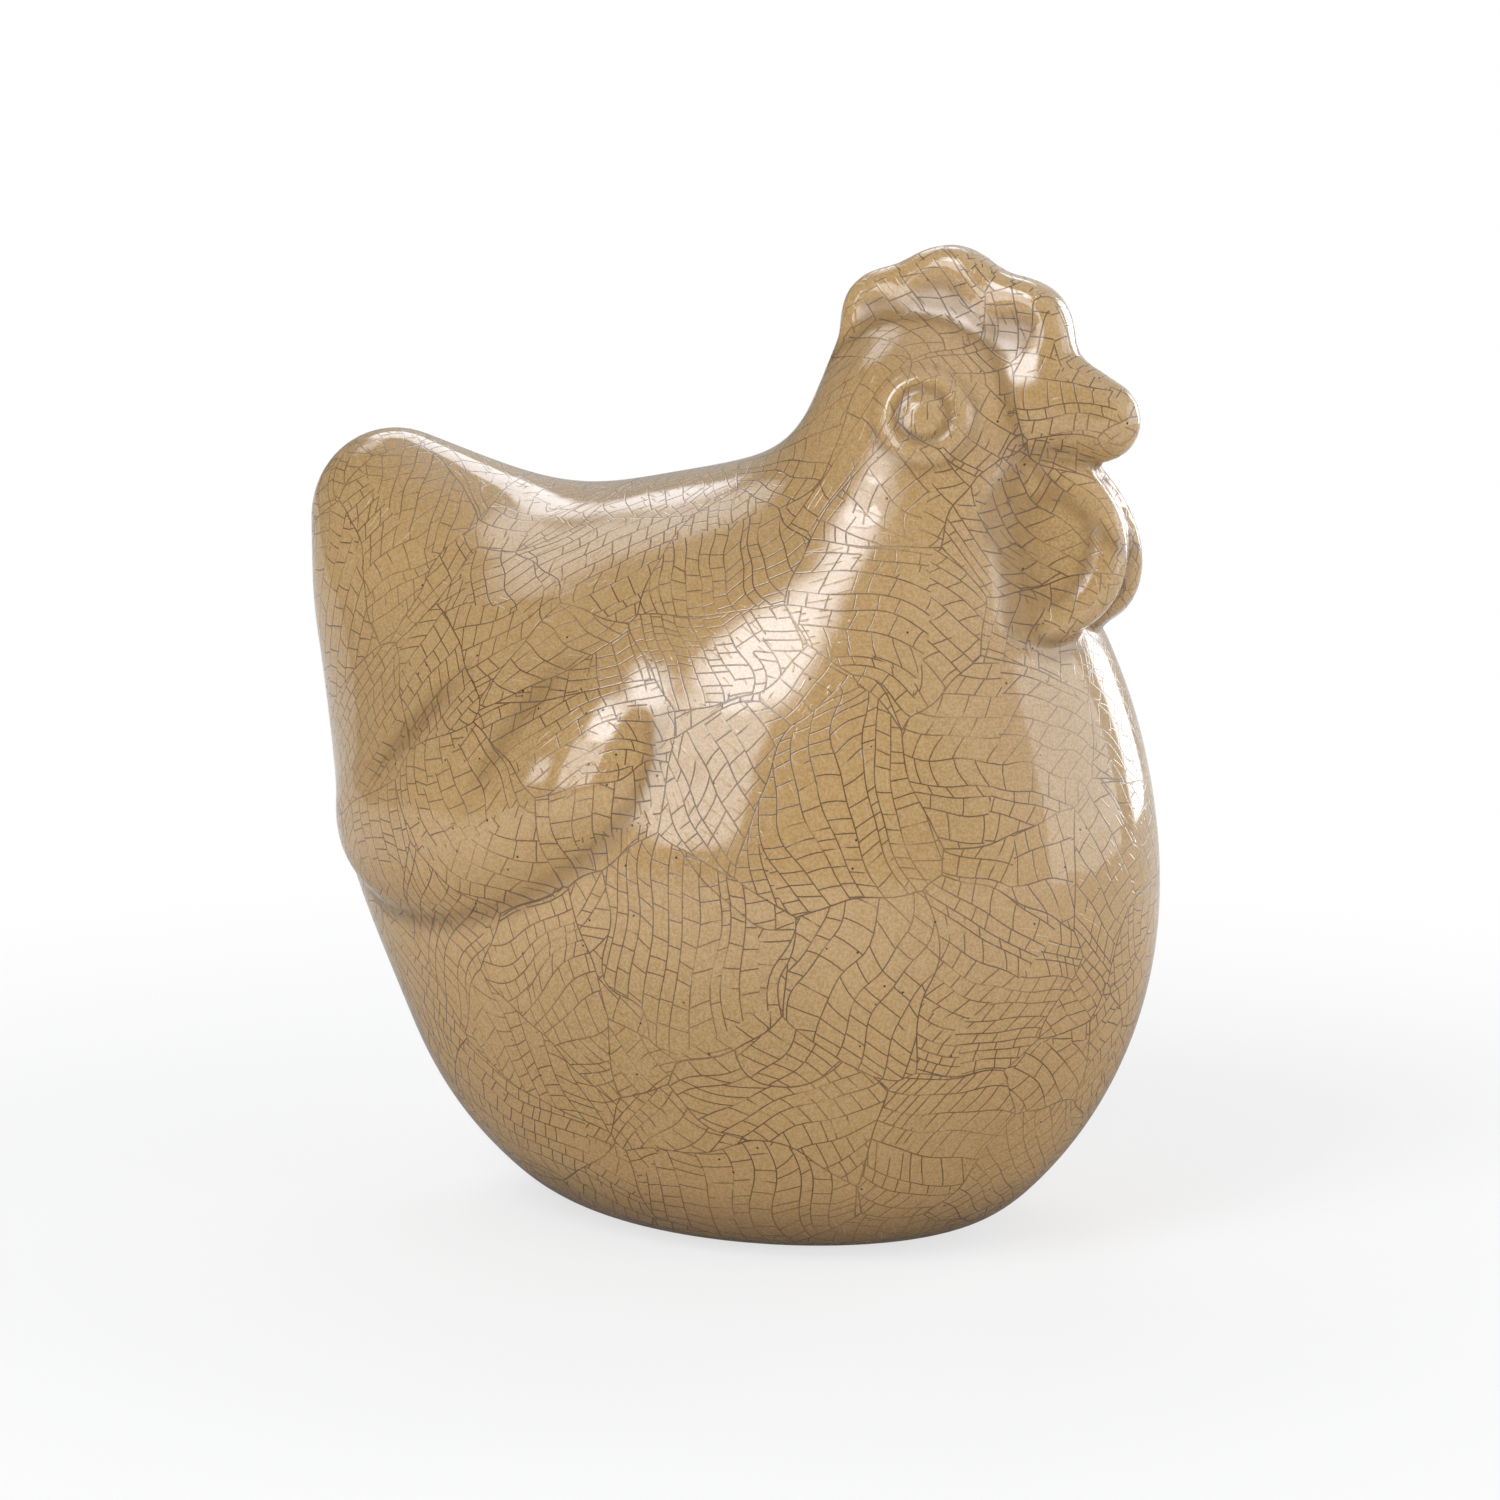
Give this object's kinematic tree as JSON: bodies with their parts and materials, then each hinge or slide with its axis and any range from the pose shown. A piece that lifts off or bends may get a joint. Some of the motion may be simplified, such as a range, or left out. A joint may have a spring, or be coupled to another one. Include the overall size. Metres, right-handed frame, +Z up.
{
  "type": "hen figurine",
  "caption": "Stylised standing hen in crackle-glazed ceramic with comb, beak, wattle and folded wings; a hollow ornament that rests on its flat foot.",
  "frame": {"origin": "on the ground, under the middle of the hen's length, in its mirror plane", "axes": "+X towards the beak, +Y to the hen's left flank, +Z up"},
  "size_m": [0.1474, 0.1018, 0.1588],
  "materials": {
    "glaze": "gloss"
  },
  "bodies": {
    "root": {"hen_body": "glaze"}
  },
  "joints": []
}
